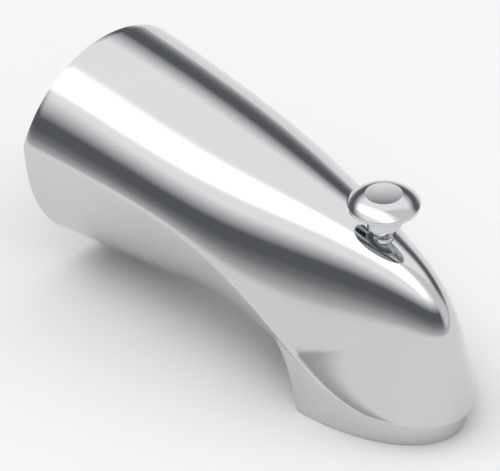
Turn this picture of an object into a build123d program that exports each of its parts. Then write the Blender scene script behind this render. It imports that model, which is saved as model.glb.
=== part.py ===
from build123d import *
import os
from math import atan2, cos, radians, sin, sqrt, tan, tanh

# Wall-mounted bath spout with a lift-up shower diverter in its nose.
# Frame: +Z up, +Y into the wall. The origin is on the supply pipe's axis, in the plane of the wall.
# "Reach" is the distance from the wall towards the nose, so a point at reach d has y = -d.

# Driving dimensions, in millimetres and degrees

# Outer form: a crowned hood over a keeled hull, meeting in one sharp crease
REACH = 151.5                # wall to nose tip
CREASE_HEIGHT = 10.6         # crease above the pipe axis, at the wall
WALL_HALF_WIDTH = 34.5
WALL_RISE = 23.8             # crown above the crease, at the wall
WALL_DEPTH = 45.1            # keel below the crease, at the wall
NOSE_HALF_WIDTH = 27.3       # where the round of the nose begins, in plan
NOSE_LENGTH = 43.6           # length of that round
TAPER_POWER = 1.1            # how the width eases from the wall to the nose
OGEE_DROP = 45.4             # fall of the crease's S-curve
OGEE_SETBACK = 50.3          # middle of that S-curve, behind the tip
OGEE_RUN = 36.0              # how gently it falls
LIP_LENGTH = 18.0            # nose lip ahead of the last section's chord
LIP_DEPTH = 27.2             # hull behind that chord, in the lip's own plane
DEPTH_POWER = 1.7            # how the hull's depth eases from the wall to the lip
WALL_FLANK_ANGLE = 69.3      # hood's slope at the crease
NOSE_FLANK_ANGLE = 64.8
WALL_HULL_LEAN = 0.06        # hull's inward slope at the crease
NOSE_HULL_LEAN = 0.5
SHELL_WALL = 2.8
FLOOR_GROWTH = 40.0          # hull thickens towards the skirt, where it turns level
FLOOR_POWER = 9.0
HOLLOW_END = 0.85            # share of the sections that are hollow
SECTION_COUNT = 11
STATION_POWER = 0.82         # sections stand closer together towards the nose

# Ridge line of the hood, as the pulls of one curve; heights are above the crease at the wall
RIDGE_WALL_PULL = 55.6
RIDGE_WALL_FALL = 3.6
RIDGE_NOSE_PULL = 15.2
RIDGE_NOSE_HEIGHT = 4.4
RIDGE_TIP_HEIGHT = 18.8

# Outlet skirt under the nose, D-shaped, with its flat side towards the wall
OUTLET_DROP = 39.4           # rim below the pipe axis
OUTLET_TIP_GAP = 2.7         # rim's front behind the nose tip
OUTLET_HALF_WIDTH = 23.6
OUTLET_ROUND = 41.2          # length of its rounded front
OUTLET_STRAIGHT = 3.0        # straight sides behind the round
OUTLET_CORNER = 2.5
SKIRT_HEIGHT = 20.6
SKIRT_SIDE_FLARE = 1.8       # growth of each side over that height
SKIRT_BACK_FLARE = 3.6
SKIRT_WALL = 3.0
NOSE_WALL = 4.9              # skirt's wall at its front
SKIRT_OVERLAP = 1.0          # skirt runs this far up inside the crease
MOUTH_HEIGHT = 25.5          # mouth's own walls, from the rim up to the hollow
RIM_ROUND = 0.6

# Supply pipe and the sleeve that slips over it
PIPE_BORE_DIAMETER = 16.1    # half-inch copper pipe, 15.9 mm outside
PIPE_BORE_LENGTH = 28.0
ADAPTER_DIAMETER = 22.0
ADAPTER_COLLAR_DIAMETER = 26.0
ADAPTER_COLLAR_LENGTH = 4.0
ADAPTER_STOP = 3.0           # web between the pipe's end and the tube's socket
SOCKET_DEPTH = 9.0           # tube's grip at each end
SOCKET_WALL = 3.2
PIPE_RING_SECTION = 1.5
PIPE_RING_INSET = 6.0        # ring from each end of the bore
RING_GROOVE_PLAY = 0.8       # groove wider than its ring

# Hub that carries the sleeve, and its ribs
HUB_DIAMETER = 31.0
HUB_LENGTH = 28.0
RIB_THICKNESS = 3.0
SCREW_BOSS_DIAMETER = 12.0
SET_SCREW_REACH = 18.0       # set screw's axis, from the wall
SET_SCREW_DIAMETER = 6.0
SET_SCREW_LENGTH = 9.0
SET_SCREW_KEY = 3.0          # across the flats of its socket
SET_SCREW_KEY_DEPTH = 3.5
SET_SCREW_TIP_GAP = 0.2      # tip short of the pipe bore until it is tightened

# Foam ring in the open back
GASKET_THICKNESS = 4.0
GASKET_WIDTH = 4.5
GASKET_GAP = 0.8             # beside the shell, which tapers

# Waterway tube
TUBE_DIAMETER = 14.0
TUBE_BORE = 11.5
TUBE_RING_SECTION = 1.5

# Lift rod, its bushing and its seal
STEM_SETBACK = 32.3          # rod's axis behind the nose tip
STEM_DIAMETER = 4.0
BUSHING_DIAMETER = 5.8
BUSHING_PROUD = 0.3          # bushing above the roof, on the rod's axis
BUSHING_FLANGE_DIAMETER = 11.0
BUSHING_FLANGE_THICKNESS = 2.0
ROOF_BOSS_DIAMETER = 13.0
ROOF_BOSS_HEIGHT = 2.8       # boss under the roof's inner face
STEM_RING_SECTION = 1.7
STEM_RING_SEAT = 2.0         # depth of its counterbore

# Valve box in the nose
CHAMBER_WIDTH = 16.0
CHAMBER_BACK = 8.7           # behind the rod's axis
CHAMBER_ROOF = 5.5           # above the pipe axis
CHAMBER_DEPTH = 29.5
HOUSING_WALL = 2.0
HOUSING_ROOF = 2.2
HOUSING_CORNER = 3.5
COLLAR_DIAMETER = 12.0       # carries the rod's seal, on the roof of the box
PORT_DIAMETER = 11.0
PORT_DROP = 3.5              # port's axis below the pipe axis
SEAT_WIDTH = 1.6
SEAT_HEIGHT = 0.8
PASSAGE_DIAMETER = 10.0      # way in from the tube
FLANGE_HALF_WIDTH = 16.8
FLANGE_THICKNESS = 3.0
FLANGE_CORNER = 3.0
COVER_THICKNESS = 3.0
COVER_GASKET_THICKNESS = 1.0
COVER_SCREW_OFFSET = 13.4
COVER_SCREW_DIAMETER = 3.0
EAR_OFFSET = 14.5            # ear's screw, from the middle
EAR_RADIUS = 3.6
EAR_THICKNESS = 4.0
EAR_DROP = 8.0               # ear's top below the pipe axis
EAR_SETBACK = 2.2            # ear behind the rod's axis
POST_DIAMETER = 6.6
HOUSING_SCREW_DIAMETER = 3.5
HOUSING_SCREW_GRIP = 6.0     # thread in the post
SCREW_HOLE_SPARE = 1.0       # hole deeper than its screw
HEAD_RATIO = 1.85            # pan head's diameter, in screw diameters
HEAD_HEIGHT = 2.0
DRIVER_SLOT_WIDTH = 0.8
DRIVER_SLOT_DEPTH = 0.9

# Gate
LIFT = 13.0                  # travel of the knob
GATE_HEIGHT = 13.5
GATE_FRONT = 4.2             # ahead of the rod's axis
GATE_BACK = 3.2
GATE_CORNER = 1.5
HOOK_NECK_DIAMETER = 2.4
HOOK_NECK_LENGTH = 2.6
HOOK_HEAD_DIAMETER = 4.8
HOOK_HEAD_LENGTH = 2.0
WASHER_DIAMETER = 13.4
WASHER_THICKNESS = 2.0
WASHER_RECESS = 1.0
GATE_SCREW_DIAMETER = 2.5
GATE_SCREW_HEAD_DIAMETER = 5.0
GATE_SCREW_HEAD_HEIGHT = 0.8
GATE_SCREW_GRIP = 3.0

# Knob: a shallow dome on a disc, over a collar and a cone
KNOB_DIAMETER = 22.3
KNOB_RIM = 1.3
KNOB_DOME = 3.3              # flat top above the rim
KNOB_FLAT_DIAMETER = 11.4
KNOB_DISH = 0.5              # hollow in that flat
KNOB_SWELL = 0.5             # dome outside a straight cone
KNOB_COLLAR_DIAMETER = 11.2
KNOB_COLLAR_LENGTH = 6.4
KNOB_CONE_LENGTH = 3.9
KNOB_UNDERCUT = 0.8          # hollow under the disc
KNOB_SHANK_DIAMETER = 5.8
KNOB_REST_GAP = 0.3          # knob above its bushing
KNOB_SOCKET_DEPTH = 9.0      # rod's grip in the knob

# Clearances
PLAY = 0.05                  # round fits, on the radius
SCREW_PLAY = 0.2             # screws in plain holes, on the radius
SEAT_GAP = 0.1               # faces that meet at rest
SLIDE_GAP = 0.2              # gate beside its guides
WATER_GAP = 0.3              # washer off its seat until the water pushes it home

# Places that follow from the sizes above

outlet_z = -OUTLET_DROP
outlet_centre = REACH - OUTLET_TIP_GAP - OUTLET_ROUND
skirt_back = outlet_centre - OUTLET_STRAIGHT - SKIRT_BACK_FLARE
hub_start = GASKET_THICKNESS + SEAT_GAP
hub_end = hub_start + HUB_LENGTH
bore_radius = PIPE_BORE_DIAMETER / 2
tube_start = PIPE_BORE_LENGTH + ADAPTER_STOP
socket_radius = TUBE_DIAMETER / 2 + PLAY
stem_reach = REACH - STEM_SETBACK
stem_bore = STEM_DIAMETER / 2 + PLAY
gate_front = stem_reach + GATE_FRONT
washer_front = gate_front - WASHER_RECESS + WASHER_THICKNESS
seat_face = washer_front + WATER_GAP
chamber_back = stem_reach - CHAMBER_BACK
chamber_front = seat_face + SEAT_HEIGHT
chamber_middle = (chamber_back + chamber_front) / 2
chamber_floor = CHAMBER_ROOF - CHAMBER_DEPTH
housing_back = chamber_back - HOUSING_WALL
housing_front = chamber_front + HOUSING_WALL
housing_length = housing_front - housing_back
housing_middle = (housing_front + housing_back) / 2
housing_roof = CHAMBER_ROOF + HOUSING_ROOF
housing_half_width = CHAMBER_WIDTH / 2 + HOUSING_WALL
ear_reach = stem_reach - EAR_SETBACK
ear_spots = [(-EAR_OFFSET, -ear_reach), (EAR_OFFSET, -ear_reach)]
cover_screw_spots = [(-COVER_SCREW_OFFSET, -housing_middle), (COVER_SCREW_OFFSET, -housing_middle)]
gate_middle = -PORT_DROP - LIFT
gate_top = gate_middle + GATE_HEIGHT / 2
hook_foot = gate_top + SEAT_GAP - HOOK_NECK_LENGTH

UPWARD = (Align.CENTER, Align.CENTER, Align.MIN)
DOWNWARD = (Align.CENTER, Align.CENTER, Align.MAX)


def crease_half_width(reach):
    """Half the width between the two creases, in plan."""
    round_start = REACH - NOSE_LENGTH
    if reach > round_start:
        return NOSE_HALF_WIDTH * sqrt(1 - ((reach - round_start) / NOSE_LENGTH) ** 2)
    share = 1 - reach / round_start
    return NOSE_HALF_WIDTH + (WALL_HALF_WIDTH - NOSE_HALF_WIDTH) * share**TAPER_POWER


def crease_height(reach):
    """Height of the crease: an S-curve from the wall down to the nose tip."""
    middle = REACH - OGEE_SETBACK
    fall = tanh((reach - middle) / OGEE_RUN) + tanh(middle / OGEE_RUN)
    return CREASE_HEIGHT - OGEE_DROP * fall / 2


def ease(start, end, share):
    return start + (end - start) * share


# Ridge of the hood, from the wall to the nose tip
tip_height = crease_height(REACH)
with BuildLine(Plane.YZ) as ridge_line:
    ridge = Bezier(
        (0, CREASE_HEIGHT + WALL_RISE),
        (-RIDGE_WALL_PULL, CREASE_HEIGHT + WALL_RISE - RIDGE_WALL_FALL),
        (RIDGE_NOSE_PULL - REACH, CREASE_HEIGHT + RIDGE_NOSE_HEIGHT),
        (-REACH, CREASE_HEIGHT + RIDGE_TIP_HEIGHT),
        (-REACH, tip_height),
    )

# The sections fan out from upright at the wall to nearly level at the lip
lip_reach = REACH - LIP_LENGTH
lip_tilt = atan2(LIP_LENGTH, tip_height - crease_height(lip_reach))
PULL_OF_RISE = 4 / 3         # a cubic's middle pulls, for a curve of unit height


def shell_section(share, inset):
    """One closed section: the hood's arch over the hull's keel, drawn in by a wall."""
    reach = lip_reach * share**STATION_POWER
    chord = Vector(0, -reach, crease_height(reach))
    tilt = lip_tilt * (reach / lip_reach) ** 2
    if share in (0, 1):
        crown = ridge @ share
    else:
        sight_line = IntersectingLine(chord, (0, -sin(tilt), cos(tilt)), ridge, mode=Mode.PRIVATE)
        crown = sight_line @ 1
    up = (crown - chord).normalized()
    half = crease_half_width(reach) - inset
    rise = ((crown - chord).length - inset) * PULL_OF_RISE
    floor = inset * (1 + FLOOR_GROWTH * share**FLOOR_POWER)
    depth = (ease(WALL_DEPTH, LIP_DEPTH, share**DEPTH_POWER) - floor) * PULL_OF_RISE
    arch_half = half - rise / tan(radians(ease(WALL_FLANK_ANGLE, NOSE_FLANK_ANGLE, share**2)))
    keel_half = half - depth * ease(WALL_HULL_LEAN, NOSE_HULL_LEAN, sqrt(share))
    with BuildSketch(Plane(chord, x_dir=(1, 0, 0), z_dir=Vector(1, 0, 0).cross(up))) as section:
        with BuildLine():
            Bezier((-half, 0), (-arch_half, rise), (arch_half, rise), (half, 0))
            Bezier((half, 0), (keel_half, -depth), (-keel_half, -depth), (-half, 0))
        make_face()
    return section.sketch


def outlet_section(rise, side_wall, nose_wall):
    """The D-shaped outlet, so far above the rim, with its share of the skirt's flare."""
    flare = rise / SKIRT_HEIGHT
    half = OUTLET_HALF_WIDTH + SKIRT_SIDE_FLARE * flare - side_wall
    centre = outlet_centre + side_wall
    length = OUTLET_ROUND - side_wall - nose_wall
    back = centre - OUTLET_STRAIGHT - SKIRT_BACK_FLARE * flare
    with BuildSketch(Plane.XY.offset(outlet_z + rise)) as outlet:
        with BuildLine():
            front = EllipticalCenterArc((0, -centre), half, length, 180, arc_size=180)
            Polyline(front @ 1, (half, -back), (-half, -back), front @ 0)
        make_face()
        fillet(outlet.vertices().group_by(Axis.Y)[-1], OUTLET_CORNER)
    return outlet.sketch


# Spout body: one hollow casting

stations = [i / (SECTION_COUNT - 1) for i in range(SECTION_COUNT)]
skirt_reaches = [ease(skirt_back, REACH, i / SECTION_COUNT) for i in range(SECTION_COUNT + 1)]

# Skirt, cut off just inside the crease
with BuildPart() as skirt:
    loft([outlet_section(0, 0, 0), outlet_section(SKIRT_HEIGHT, 0, 0)], ruled=True)
    with BuildSketch(Plane.YZ):
        with BuildLine():
            skirt_top = Spline([(-reach, crease_height(reach) + SKIRT_OVERLAP) for reach in skirt_reaches])
            Polyline(skirt_top @ 1, (-REACH, outlet_z), (-skirt_back, outlet_z), skirt_top @ 0)
        make_face()
    extrude(amount=WALL_HALF_WIDTH, both=True, mode=Mode.INTERSECT)

with BuildPart() as outer_form:
    loft([shell_section(share, 0) for share in stations])
    add(skirt.part)
    fillet(outer_form.faces().sort_by(Axis.Z)[0].edges(), RIM_ROUND)

# Roof over the lift rod, where the rod comes out
roof_z = outer_form.part.find_intersection_points(Axis((0, -stem_reach, 0), (0, 0, 1)))[-1][0].Z
bushing_top = roof_z + BUSHING_PROUD
boss_foot = roof_z - SHELL_WALL - ROOF_BOSS_HEIGHT
collar_top = boss_foot - BUSHING_FLANGE_THICKNESS - SEAT_GAP
knob_foot = bushing_top + KNOB_REST_GAP

# Hub and ribs for the sleeve, boss for its screw, boss for the rod and posts for the valve box
with BuildPart() as inner_supports:
    with BuildSketch(Plane.XZ.offset(hub_start)):
        Circle(HUB_DIAMETER / 2)
        Rectangle(2 * REACH, RIB_THICKNESS)
        Rectangle(RIB_THICKNESS, 2 * REACH)
    extrude(amount=HUB_LENGTH)
    with Locations((0, -SET_SCREW_REACH, 0)):
        Cylinder(SCREW_BOSS_DIAMETER / 2, REACH, align=DOWNWARD)
    with Locations((0, -stem_reach, boss_foot)):
        Cylinder(ROOF_BOSS_DIAMETER / 2, REACH, align=UPWARD)
    with BuildSketch(Plane.XY.offset(-EAR_DROP)):
        with Locations(ear_spots):
            Circle(POST_DIAMETER / 2)
    extrude(amount=REACH)
    add(outer_form.part, mode=Mode.INTERSECT)

# Inside of the casting: open at the wall and at the mouth
with BuildPart() as hollow:
    loft([shell_section(HOLLOW_END * share, SHELL_WALL) for share in stations])
    extrude(outlet_section(0, SKIRT_WALL, NOSE_WALL), amount=MOUTH_HEIGHT)

with BuildPart() as spout_body:
    add(outer_form.part)
    add(hollow.part, mode=Mode.SUBTRACT)
    add(inner_supports.part)
    with BuildSketch(Plane.XZ):
        Circle(ADAPTER_DIAMETER / 2 + PLAY)
    extrude(amount=hub_end, mode=Mode.SUBTRACT)
    with Locations((0, -SET_SCREW_REACH, 0)):
        Cylinder(SET_SCREW_DIAMETER / 2 + PLAY, REACH, align=DOWNWARD, mode=Mode.SUBTRACT)
    with Locations((0, -stem_reach, boss_foot)):
        Cylinder(BUSHING_DIAMETER / 2 + PLAY, REACH, align=UPWARD, mode=Mode.SUBTRACT)
    with BuildSketch(Plane.XY.offset(-EAR_DROP)):
        with Locations(ear_spots):
            Circle(HOUSING_SCREW_DIAMETER / 2 + PLAY)
    extrude(amount=HOUSING_SCREW_GRIP + SCREW_HOLE_SPARE, mode=Mode.SUBTRACT)

# Foam ring, pressed into the open back against the rib ends
with BuildPart() as wall_gasket:
    gasket_inset = SHELL_WALL + GASKET_GAP
    extrude(shell_section(0, gasket_inset), amount=GASKET_THICKNESS)
    extrude(shell_section(0, gasket_inset + GASKET_WIDTH), amount=GASKET_THICKNESS, mode=Mode.SUBTRACT)

# Brass sleeve: slips over the supply pipe, with two inner grooves, and takes the tube in its front socket
pipe_ring_reaches = [PIPE_RING_INSET, PIPE_BORE_LENGTH - PIPE_RING_INSET]
pipe_ring_radius = bore_radius + PLAY + PIPE_RING_SECTION / 2
collar_start = hub_end + SEAT_GAP
collar_end = collar_start + ADAPTER_COLLAR_LENGTH
adapter_end = tube_start + SOCKET_DEPTH
with BuildPart() as pipe_adapter:
    with BuildSketch(Plane.YZ):
        with BuildLine():
            Polyline(
                (0, bore_radius),
                (0, ADAPTER_DIAMETER / 2),
                (-collar_start, ADAPTER_DIAMETER / 2),
                (-collar_start, ADAPTER_COLLAR_DIAMETER / 2),
                (-collar_end, ADAPTER_COLLAR_DIAMETER / 2),
                (-collar_end, socket_radius + SOCKET_WALL),
                (-adapter_end, socket_radius + SOCKET_WALL),
                (-adapter_end, socket_radius),
                (-tube_start, socket_radius),
                (-tube_start, TUBE_BORE / 2),
                (-PIPE_BORE_LENGTH, TUBE_BORE / 2),
                (-PIPE_BORE_LENGTH, bore_radius),
                close=True,
            )
        make_face()
    revolve(axis=Axis.Y)
    with BuildSketch(Plane.YZ):
        with Locations([(-reach, bore_radius) for reach in pipe_ring_reaches]):
            Rectangle(PIPE_RING_SECTION + RING_GROOVE_PLAY, 2 * (PIPE_RING_SECTION + 2 * PLAY))
    revolve(axis=Axis.Y, mode=Mode.SUBTRACT)
    with Locations((0, -SET_SCREW_REACH, 0)):
        Cylinder(SET_SCREW_DIAMETER / 2 + PLAY, REACH, align=DOWNWARD, mode=Mode.SUBTRACT)

with BuildPart() as rear_pipe_o_ring:
    with Locations(Plane.XZ.offset(pipe_ring_reaches[0])):
        Torus(pipe_ring_radius, PIPE_RING_SECTION / 2)

with BuildPart() as front_pipe_o_ring:
    with Locations(Plane.XZ.offset(pipe_ring_reaches[1])):
        Torus(pipe_ring_radius, PIPE_RING_SECTION / 2)

# Set screw, driven up from under the spout with a hex key
set_screw_tip = -bore_radius - SET_SCREW_TIP_GAP
with BuildPart() as set_screw:
    with Locations((0, -SET_SCREW_REACH, set_screw_tip)):
        Cylinder(SET_SCREW_DIAMETER / 2, SET_SCREW_LENGTH, align=DOWNWARD)
    chamfer(set_screw.faces().sort_by(Axis.Z)[-1].edges(), SET_SCREW_DIAMETER / 6)
    with BuildSketch(Plane.XY.offset(set_screw_tip - SET_SCREW_LENGTH)):
        with Locations((0, -SET_SCREW_REACH)):
            RegularPolygon(SET_SCREW_KEY / 2, 6, major_radius=False)
    extrude(amount=SET_SCREW_KEY_DEPTH, mode=Mode.SUBTRACT)

# Tube from the sleeve to the valve box
with BuildPart() as waterway_tube:
    with BuildSketch(Plane.XZ.offset(tube_start + SEAT_GAP)):
        Circle(TUBE_DIAMETER / 2)
        Circle(TUBE_BORE / 2, mode=Mode.SUBTRACT)
    extrude(amount=housing_back - tube_start - 2 * SEAT_GAP)

tube_ring_reach = housing_back - SOCKET_DEPTH / 2
tube_ring_radius = socket_radius + TUBE_RING_SECTION / 2
with BuildPart() as tube_o_ring:
    with Locations(Plane.XZ.offset(tube_ring_reach)):
        Torus(tube_ring_radius, TUBE_RING_SECTION / 2)

# Valve box: a chamber for the gate, with a socket for the tube, a seal collar, a port and two ears
stem_ring_radius = stem_bore + STEM_RING_SECTION / 2
with BuildPart() as diverter_housing:
    with BuildSketch(Plane.XY.offset(chamber_floor)):
        with Locations((0, -housing_middle)):
            Rectangle(2 * housing_half_width, housing_length)
    extrude(amount=housing_roof - chamber_floor)
    fillet(diverter_housing.edges().filter_by(Axis.Z), HOUSING_CORNER)
    fillet(diverter_housing.faces().sort_by(Axis.Z)[-1].edges(), HOUSING_WALL)
    with BuildSketch(Plane.XY.offset(chamber_floor)):
        with Locations((0, -housing_middle)):
            RectangleRounded(2 * FLANGE_HALF_WIDTH, housing_length, FLANGE_CORNER)
    extrude(amount=FLANGE_THICKNESS)
    with BuildSketch(Plane.XY.offset(-EAR_DROP - SEAT_GAP)):
        with Locations((0, -ear_reach)):
            SlotOverall(2 * (EAR_OFFSET + EAR_RADIUS), 2 * EAR_RADIUS)
    extrude(amount=-EAR_THICKNESS)
    with BuildSketch(Plane.XZ.offset(housing_back - SOCKET_DEPTH)):
        Circle(socket_radius + SOCKET_WALL)
    extrude(amount=SOCKET_DEPTH + HOUSING_WALL)
    with Locations((0, -stem_reach, CHAMBER_ROOF)):
        Cylinder(COLLAR_DIAMETER / 2, collar_top - CHAMBER_ROOF, align=UPWARD)
    with BuildSketch(Plane.XY.offset(chamber_floor)):
        with Locations((0, -chamber_middle)):
            Rectangle(CHAMBER_WIDTH, chamber_front - chamber_back)
    extrude(amount=CHAMBER_DEPTH, mode=Mode.SUBTRACT)
    with BuildSketch(Plane.XZ.offset(seat_face)):
        with Locations((0, -PORT_DROP)):
            Circle(PORT_DIAMETER / 2 + SEAT_WIDTH)
    extrude(amount=SEAT_HEIGHT)
    with BuildSketch(Plane.XZ.offset(seat_face)):
        with Locations((0, -PORT_DROP)):
            Circle(PORT_DIAMETER / 2)
    extrude(amount=SEAT_HEIGHT + HOUSING_WALL, mode=Mode.SUBTRACT)
    with BuildSketch(Plane.XZ.offset(housing_back - SOCKET_DEPTH)):
        Circle(socket_radius)
    extrude(amount=SOCKET_DEPTH, mode=Mode.SUBTRACT)
    with BuildSketch(Plane.XZ.offset(housing_back)):
        Circle(PASSAGE_DIAMETER / 2)
    extrude(amount=HOUSING_WALL, mode=Mode.SUBTRACT)
    with BuildSketch(Plane.YZ):
        with Locations((-tube_ring_reach, socket_radius)):
            Rectangle(TUBE_RING_SECTION + RING_GROOVE_PLAY, 2 * (TUBE_RING_SECTION + PLAY))
    revolve(axis=Axis.Y, mode=Mode.SUBTRACT)
    with Locations((0, -stem_reach, CHAMBER_ROOF)):
        Cylinder(stem_bore, collar_top - CHAMBER_ROOF, align=UPWARD, mode=Mode.SUBTRACT)
    with Locations((0, -stem_reach, collar_top)):
        Cylinder(stem_bore + STEM_RING_SECTION + PLAY, STEM_RING_SEAT, align=DOWNWARD, mode=Mode.SUBTRACT)
    with BuildSketch(Plane.XY.offset(-EAR_DROP)):
        with Locations(ear_spots):
            Circle(HOUSING_SCREW_DIAMETER / 2 + SCREW_PLAY)
    extrude(amount=-EAR_THICKNESS - 2 * SEAT_GAP, mode=Mode.SUBTRACT)
    with BuildSketch(Plane.XY.offset(chamber_floor)):
        with Locations(cover_screw_spots):
            Circle(COVER_SCREW_DIAMETER / 2 + PLAY)
    extrude(amount=FLANGE_THICKNESS, mode=Mode.SUBTRACT)


def pan_head_screws(spots, seat_z, diameter, shank):
    """Slotted pan-head screws, pointing up, with their heads under the seat."""
    with BuildPart() as screws:
        with Locations([(x, y, seat_z) for x, y in spots]):
            Cylinder(diameter / 2, shank, align=UPWARD)
            Cylinder(diameter * HEAD_RATIO / 2, HEAD_HEIGHT, align=DOWNWARD)
        fillet(screws.faces().group_by(Axis.Z)[0].edges(), HEAD_HEIGHT / 3)
        with BuildSketch(Plane.XY.offset(seat_z - HEAD_HEIGHT)):
            with Locations(spots):
                Rectangle(2 * diameter, DRIVER_SLOT_WIDTH)
        extrude(amount=DRIVER_SLOT_DEPTH, mode=Mode.SUBTRACT)
    return screws


housing_screws = pan_head_screws(
    ear_spots,
    -EAR_DROP - EAR_THICKNESS - 2 * SEAT_GAP,
    HOUSING_SCREW_DIAMETER,
    EAR_THICKNESS + 2 * SEAT_GAP + HOUSING_SCREW_GRIP,
)

# Cover under the valve box, on a flat gasket
gasket_top = chamber_floor - SEAT_GAP
cover_top = gasket_top - COVER_GASKET_THICKNESS - SEAT_GAP


def cover_outline(height):
    """The outline of the box's flange, with the holes for its two screws."""
    with BuildSketch(Plane.XY.offset(height)) as outline:
        with Locations((0, -housing_middle)):
            RectangleRounded(2 * FLANGE_HALF_WIDTH, housing_length, FLANGE_CORNER)
        with Locations(cover_screw_spots):
            Circle(COVER_SCREW_DIAMETER / 2 + SCREW_PLAY, mode=Mode.SUBTRACT)
    return outline.sketch


with BuildPart() as housing_gasket:
    extrude(cover_outline(gasket_top), amount=-COVER_GASKET_THICKNESS)
    with BuildSketch(Plane.XY.offset(gasket_top)):
        with Locations((0, -chamber_middle)):
            Rectangle(CHAMBER_WIDTH, chamber_front - chamber_back)
    extrude(amount=-COVER_GASKET_THICKNESS, mode=Mode.SUBTRACT)

with BuildPart() as housing_cover:
    extrude(cover_outline(cover_top), amount=-COVER_THICKNESS)

cover_seat = cover_top - COVER_THICKNESS - SEAT_GAP
cover_screws = pan_head_screws(
    cover_screw_spots, cover_seat, COVER_SCREW_DIAMETER, chamber_floor + FLANGE_THICKNESS - cover_seat
)

# Bushing: its flange is held between the roof boss and the valve box's collar
with BuildPart() as stem_bushing:
    with Locations((0, -stem_reach, boss_foot - SEAT_GAP / 2)):
        Cylinder(BUSHING_FLANGE_DIAMETER / 2, BUSHING_FLANGE_THICKNESS, align=DOWNWARD)
        Cylinder(BUSHING_DIAMETER / 2, bushing_top - boss_foot + SEAT_GAP / 2, align=UPWARD)
    with Locations((0, -stem_reach, 0)):
        Cylinder(stem_bore, REACH, align=UPWARD, mode=Mode.SUBTRACT)

with BuildPart() as stem_o_ring:
    with Locations((0, -stem_reach, collar_top - STEM_RING_SEAT / 2)):
        Torus(stem_ring_radius, STEM_RING_SECTION / 2)

# Knob: turned in one piece
rim_foot = knob_foot + KNOB_CONE_LENGTH + KNOB_COLLAR_LENGTH
rim_top = rim_foot + KNOB_RIM
knob_top = rim_top + KNOB_DOME
knob_axis = Axis((0, -stem_reach, 0), (0, 0, 1))
with BuildPart() as diverter_knob:
    with BuildSketch(Plane.XZ.offset(stem_reach)):
        with BuildLine():
            dome = SagittaArc((KNOB_DIAMETER / 2, rim_top), (KNOB_FLAT_DIAMETER / 2, knob_top), KNOB_SWELL)
            Polyline(
                dome @ 1,
                (0, knob_top - KNOB_DISH),
                (0, knob_foot + KNOB_SOCKET_DEPTH),
                (stem_bore, knob_foot + KNOB_SOCKET_DEPTH),
                (stem_bore, knob_foot),
                (KNOB_SHANK_DIAMETER / 2, knob_foot),
                (KNOB_COLLAR_DIAMETER / 2, knob_foot + KNOB_CONE_LENGTH),
                (KNOB_COLLAR_DIAMETER / 2, rim_foot + KNOB_UNDERCUT),
                (KNOB_DIAMETER / 2, rim_foot),
                dome @ 0,
            )
        make_face()
    revolve(axis=knob_axis)

# Lift rod, with a headed hook at its foot
with BuildPart() as lift_stem:
    with Locations((0, -stem_reach, gate_top + SEAT_GAP)):
        Cylinder(STEM_DIAMETER / 2, knob_foot + KNOB_SOCKET_DEPTH - gate_top - 2 * SEAT_GAP, align=UPWARD)
        Cylinder(HOOK_NECK_DIAMETER / 2, HOOK_NECK_LENGTH, align=DOWNWARD)
    with Locations((0, -stem_reach, hook_foot)):
        Cylinder(HOOK_HEAD_DIAMETER / 2, HOOK_HEAD_LENGTH, align=DOWNWARD)

# Gate: a block that hangs on the rod's hook by a slot in its back
with BuildPart() as diverter_gate:
    with BuildSketch(Plane.XZ.offset(stem_reach - GATE_BACK)):
        with Locations((0, gate_middle)):
            RectangleRounded(CHAMBER_WIDTH - 2 * SLIDE_GAP, GATE_HEIGHT, GATE_CORNER)
    extrude(amount=GATE_BACK + GATE_FRONT)
    with BuildSketch(Plane.XY.offset(gate_top)):
        with Locations((0, -stem_reach)):
            Circle(HOOK_NECK_DIAMETER / 2 + SEAT_GAP)
            Rectangle(HOOK_NECK_DIAMETER + 2 * SEAT_GAP, REACH, align=(Align.CENTER, Align.MIN))
    extrude(amount=hook_foot - gate_top, mode=Mode.SUBTRACT)
    with BuildSketch(Plane.XY.offset(hook_foot + SEAT_GAP)):
        with Locations((0, -stem_reach)):
            Circle(HOOK_HEAD_DIAMETER / 2 + SEAT_GAP)
            Rectangle(HOOK_HEAD_DIAMETER + 2 * SEAT_GAP, REACH, align=(Align.CENTER, Align.MIN))
    extrude(amount=-HOOK_HEAD_LENGTH - 2 * SEAT_GAP, mode=Mode.SUBTRACT)
    with BuildSketch(Plane.XZ.offset(gate_front)):
        with Locations((0, gate_middle)):
            Circle(WASHER_DIAMETER / 2 + PLAY)
    extrude(amount=-WASHER_RECESS, mode=Mode.SUBTRACT)
    with BuildSketch(Plane.XZ.offset(gate_front)):
        with Locations((0, gate_middle)):
            Circle(GATE_SCREW_DIAMETER / 2 + PLAY)
    extrude(amount=-WASHER_RECESS - GATE_SCREW_GRIP, mode=Mode.SUBTRACT)

with BuildPart() as gate_washer:
    with BuildSketch(Plane.XZ.offset(washer_front)):
        with Locations((0, gate_middle)):
            Circle(WASHER_DIAMETER / 2)
            Circle(GATE_SCREW_DIAMETER / 2 + PLAY, mode=Mode.SUBTRACT)
    extrude(amount=SEAT_GAP - WASHER_THICKNESS)
    with BuildSketch(Plane.XZ.offset(washer_front)):
        with Locations((0, gate_middle)):
            Circle(GATE_SCREW_HEAD_DIAMETER / 2 + PLAY)
    extrude(amount=-GATE_SCREW_HEAD_HEIGHT - SEAT_GAP, mode=Mode.SUBTRACT)

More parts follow.
